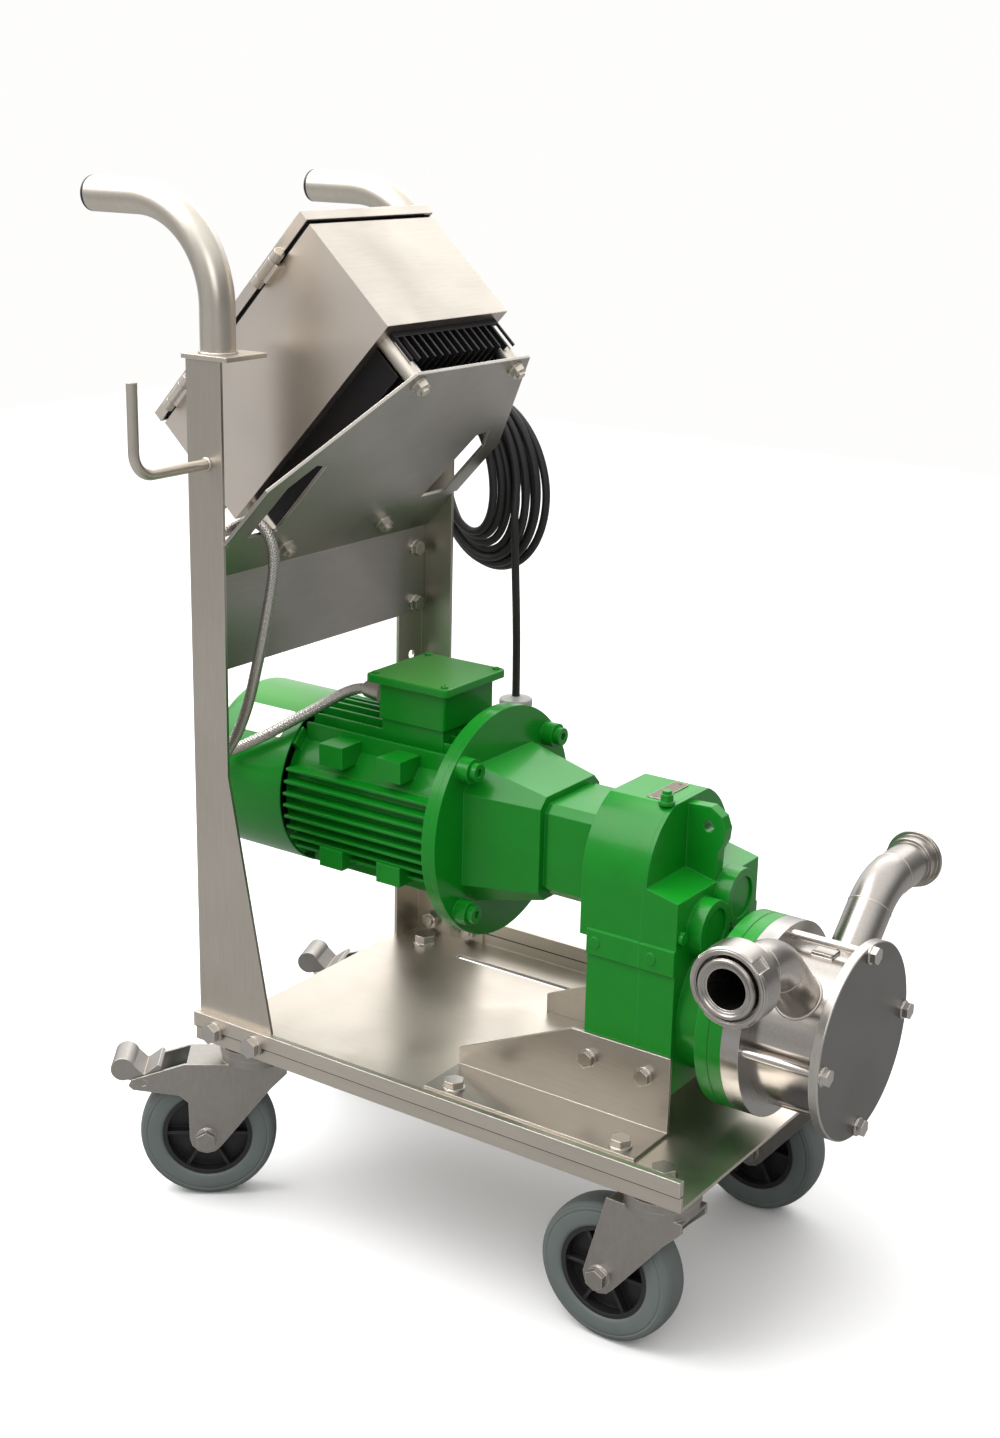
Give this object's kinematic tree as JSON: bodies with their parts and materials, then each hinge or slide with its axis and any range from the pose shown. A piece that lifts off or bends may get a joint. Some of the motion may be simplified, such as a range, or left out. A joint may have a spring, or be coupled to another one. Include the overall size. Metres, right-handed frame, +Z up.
{
  "type": "mobile impeller pump",
  "caption": "Mobile stainless impeller pump on a castor trolley, with a green geared motor, an inclined control box, a pump head with two ports, hooks and a coiled mains lead.",
  "frame": {"origin": "on the floor, under the middle of the object's box without its cords", "axes": "+X towards the pump cover, +Y towards the side of the clamp port, +Z up"},
  "size_m": [0.702, 0.505, 0.914],
  "materials": {
    "stainless": "brushed",
    "stainless_pump": "machined and satin",
    "fastener_steel": "bright",
    "green_paint": "glossy enamel",
    "black_anodised": "matt black",
    "black_plastic": "matt",
    "grey_tyre": "grey rubber",
    "black_rubber": "rubber",
    "elastomer_blue": "moulded",
    "gear_steel": "ground",
    "iron": "laminated",
    "braid": "braided wire",
    "glands": "nickel plated",
    "plug_grey": "matt"
  },
  "bodies": {
    "trolley": {"base_tray": "stainless", "posts": "stainless", "handle_tubes": "stainless", "handle_end_caps": "black_plastic", "cable_hooks": "stainless", "bracket_sheet": "stainless", "gearbox_brackets": "stainless", "frame_bolts": "fastener_steel", "control_box": "stainless", "lid_gasket": "black_rubber", "heat_sink": "black_anodised", "box_standoffs": "stainless", "cable_glands": "glands", "motor_housing": "green_paint", "motor_flange": "green_paint", "fan_cowl": "green_paint", "motor_stator": "iron", "bearings": "gear_steel", "terminal_box": "green_paint", "lantern": "green_paint", "flange_screws": "green_paint", "gearbox_cover": "green_paint", "gearbox_housing": "green_paint", "gearbox_caps": "green_paint", "output_flange": "green_paint", "pump_back_ring": "stainless_pump", "pump_seals": "black_rubber", "pump_casing": "stainless_pump", "pump_cover": "stainless_pump", "cover_studs": "fastener_steel", "castor_heads": "fastener_steel", "motor_hose": "braid", "mains_lead": "black_rubber", "mains_coil": "black_rubber", "mains_drop": "black_rubber", "mains_plug": "plug_grey"},
    "lid": {"control_box_lid": "stainless"},
    "union": {"union_nut": "stainless_pump"},
    "rotor": {"motor_rotor": "iron", "cooling_fan": "black_plastic", "shaft_coupling": "iron", "input_pinion_shaft": "gear_steel"},
    "layshaft_a": {"gear_cluster_a": "gear_steel"},
    "layshaft_b": {"gear_cluster_b": "gear_steel"},
    "output": {"output_gear": "gear_steel", "impeller": "elastomer_blue"},
    "fork_front_near_body": {"fork_front_near": "stainless"},
    "wheel_front_near": {"wheel_centre_front_near": "black_plastic", "tyre_front_near": "grey_tyre"},
    "fork_rear_near_body": {"fork_rear_near": "stainless"},
    "wheel_rear_near": {"wheel_centre_rear_near": "black_plastic", "tyre_rear_near": "grey_tyre"},
    "pedal_rear_near": {"brake_pedal_rear_near": "stainless"},
    "fork_front_far_body": {"fork_front_far": "stainless"},
    "wheel_front_far": {"wheel_centre_front_far": "black_plastic", "tyre_front_far": "grey_tyre"},
    "fork_rear_far_body": {"fork_rear_far": "stainless"},
    "wheel_rear_far": {"wheel_centre_rear_far": "black_plastic", "tyre_rear_far": "grey_tyre"},
    "pedal_rear_far": {"brake_pedal_rear_far": "stainless"}
  },
  "joints": [
    {"name": "lid_hinge", "type": "hinge", "parent": "trolley", "child": "lid", "pos_m": [-0.25009, -0.0918, 0.79187], "axis": [0.682, 0, 0.7314], "range_deg": [0, 98]},
    {"name": "union_nut_turn", "type": "hinge", "parent": "trolley", "child": "union", "pos_m": [0.30495, -0.157, 0.3575], "axis": [0, 1, 0], "continuous": true},
    {"name": "motor_spin", "type": "hinge", "parent": "trolley", "child": "rotor", "pos_m": [-0.12305, 0, 0.37], "axis": [1, 0, 0], "continuous": true},
    {"name": "layshaft_a_spin", "type": "hinge", "parent": "trolley", "child": "layshaft_a", "pos_m": [0.14695, 0.01517, 0.3495], "axis": [1, 0, 0], "continuous": true},
    {"name": "layshaft_b_spin", "type": "hinge", "parent": "trolley", "child": "layshaft_b", "pos_m": [0.15695, -0.02841, 0.33478], "axis": [1, 0, 0], "continuous": true},
    {"name": "output_spin", "type": "hinge", "parent": "trolley", "child": "output", "pos_m": [0.22695, 0, 0.26], "axis": [1, 0, 0], "continuous": true},
    {"name": "swivel_front_near", "type": "hinge", "parent": "trolley", "child": "fork_front_near_body", "pos_m": [0.23795, -0.13, 0.147], "axis": [0, 0, 1], "continuous": true},
    {"name": "roll_front_near", "type": "hinge", "parent": "fork_front_near_body", "child": "wheel_front_near", "pos_m": [0.19395, -0.13, 0.0625], "axis": [0, 1, 0], "continuous": true},
    {"name": "swivel_rear_near", "type": "hinge", "parent": "trolley", "child": "fork_rear_near_body", "pos_m": [-0.19505, -0.13, 0.147], "axis": [0, 0, 1], "continuous": true},
    {"name": "roll_rear_near", "type": "hinge", "parent": "fork_rear_near_body", "child": "wheel_rear_near", "pos_m": [-0.23019, -0.15648, 0.0625], "axis": [-0.6018, 0.7986, 0], "continuous": true},
    {"name": "brake_rear_near", "type": "hinge", "parent": "fork_rear_near_body", "child": "pedal_rear_near", "pos_m": [-0.27491, -0.19018, 0.1185], "axis": [-0.6018, 0.7986, 0], "range_deg": [-12, 0]},
    {"name": "swivel_front_far", "type": "hinge", "parent": "trolley", "child": "fork_front_far_body", "pos_m": [0.23795, 0.13, 0.147], "axis": [0, 0, 1], "continuous": true},
    {"name": "roll_front_far", "type": "hinge", "parent": "fork_front_far_body", "child": "wheel_front_far", "pos_m": [0.19395, 0.13, 0.0625], "axis": [0, 1, 0], "continuous": true},
    {"name": "swivel_rear_far", "type": "hinge", "parent": "trolley", "child": "fork_rear_far_body", "pos_m": [-0.19505, 0.13, 0.147], "axis": [0, 0, 1], "continuous": true},
    {"name": "roll_rear_far", "type": "hinge", "parent": "fork_rear_far_body", "child": "wheel_rear_far", "pos_m": [-0.23585, 0.11352, 0.0625], "axis": [-0.3746, 0.9272, 0], "continuous": true},
    {"name": "brake_rear_far", "type": "hinge", "parent": "fork_rear_far_body", "child": "pedal_rear_far", "pos_m": [-0.28777, 0.09254, 0.1185], "axis": [-0.3746, 0.9272, 0], "range_deg": [-12, 0]}
  ],
  "couplings": [
    {"joint": "layshaft_a_spin", "follows": "motor_spin", "ratio": -0.54546},
    {"joint": "layshaft_b_spin", "follows": "motor_spin", "ratio": 0.26393},
    {"joint": "output_spin", "follows": "motor_spin", "ratio": -0.11997}
  ]
}
